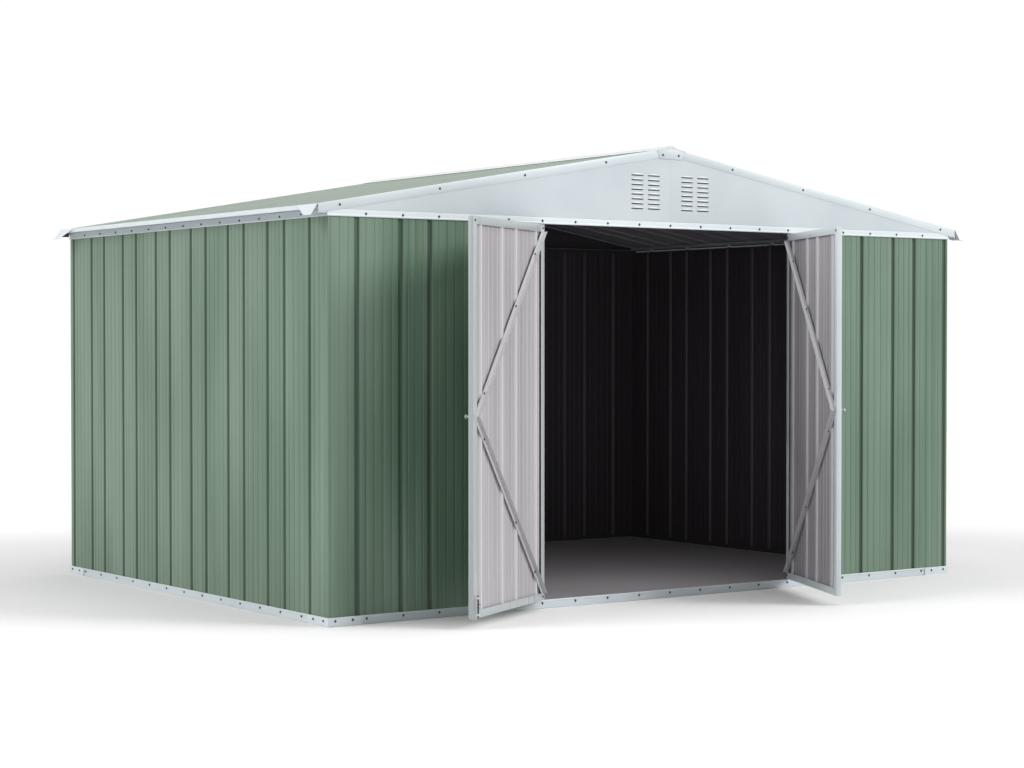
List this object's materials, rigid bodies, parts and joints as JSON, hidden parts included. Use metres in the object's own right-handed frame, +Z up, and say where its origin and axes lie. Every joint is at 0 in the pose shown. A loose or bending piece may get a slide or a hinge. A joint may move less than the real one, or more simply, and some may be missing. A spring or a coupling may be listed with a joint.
{
  "type": "metal storage shed",
  "caption": "Low gabled storage shed of ribbed sheet metal with a wide front doorway and a pair of braced, side-hung doors that open outwards.",
  "frame": {"origin": "middle of the front sill, on the ground, in the outer plane of the front rails", "axes": "+X to the right seen from the front, +Y to the back, +Z up"},
  "size_m": [4.1358, 3.511, 2.2303],
  "materials": {
    "green_sheet": "satin sage green paint on ribbed sheet",
    "white_trim": "satin off-white folded trim",
    "galvanised": "zinc coated steel",
    "door_inner": "light grey primed sheet",
    "dark_steel": "dull dark fittings"
  },
  "bodies": {
    "shed": {"base_rail_front": "white_trim", "base_rail_back": "white_trim", "base_rail_left": "white_trim", "base_rail_right": "white_trim", "base_corner_brackets": "galvanised", "head_rail_front": "white_trim", "head_rail_back": "white_trim", "head_rail_left": "white_trim", "head_rail_right": "white_trim", "wall_front_left": "green_sheet", "wall_front_right": "green_sheet", "wall_left": "green_sheet", "wall_right": "green_sheet", "wall_back": "green_sheet", "corner_front_left": "green_sheet", "corner_front_right": "green_sheet", "corner_back_left": "green_sheet", "corner_back_right": "green_sheet", "jamb_left": "white_trim", "jamb_right": "white_trim", "gable_front_left": "white_trim", "gable_front_right": "white_trim", "gable_back_left": "white_trim", "gable_back_right": "white_trim", "rake_trims_front": "white_trim", "rake_trims_back": "white_trim", "roof_left": "green_sheet", "roof_right": "green_sheet", "ridge_cap": "galvanised", "apex_plates": "white_trim", "eave_trim_left": "white_trim", "eave_trim_right": "white_trim", "eave_caps": "white_trim", "jamb_hinges": "galvanised"},
    "left_door": {"left_door_panel": "door_inner", "left_door_frame": "white_trim", "left_door_braces": "door_inner", "left_door_hinges": "galvanised", "left_door_knob": "dark_steel", "left_bolt_guides": "galvanised"},
    "right_door": {"right_door_panel": "door_inner", "right_door_frame": "white_trim", "right_door_braces": "door_inner", "right_door_hinges": "galvanised", "right_door_knob": "dark_steel"},
    "left_bolt": {"left_drop_bolt": "dark_steel"}
  },
  "joints": [
    {"name": "left_door_hinge", "type": "hinge", "parent": "shed", "child": "left_door", "pos_m": [-0.8055, -0.0048, 0.932], "axis": [0, 0, -1], "range_deg": [-149, 16]},
    {"name": "right_door_hinge", "type": "hinge", "parent": "shed", "child": "right_door", "pos_m": [0.8055, -0.0048, 0.932], "axis": [0, 0, 1], "range_deg": [-65, 100]},
    {"name": "left_bolt_slide", "type": "slide", "parent": "left_door", "child": "left_bolt", "axis": [0, 0, -1], "range_m": [0, 0.025]}
  ]
}
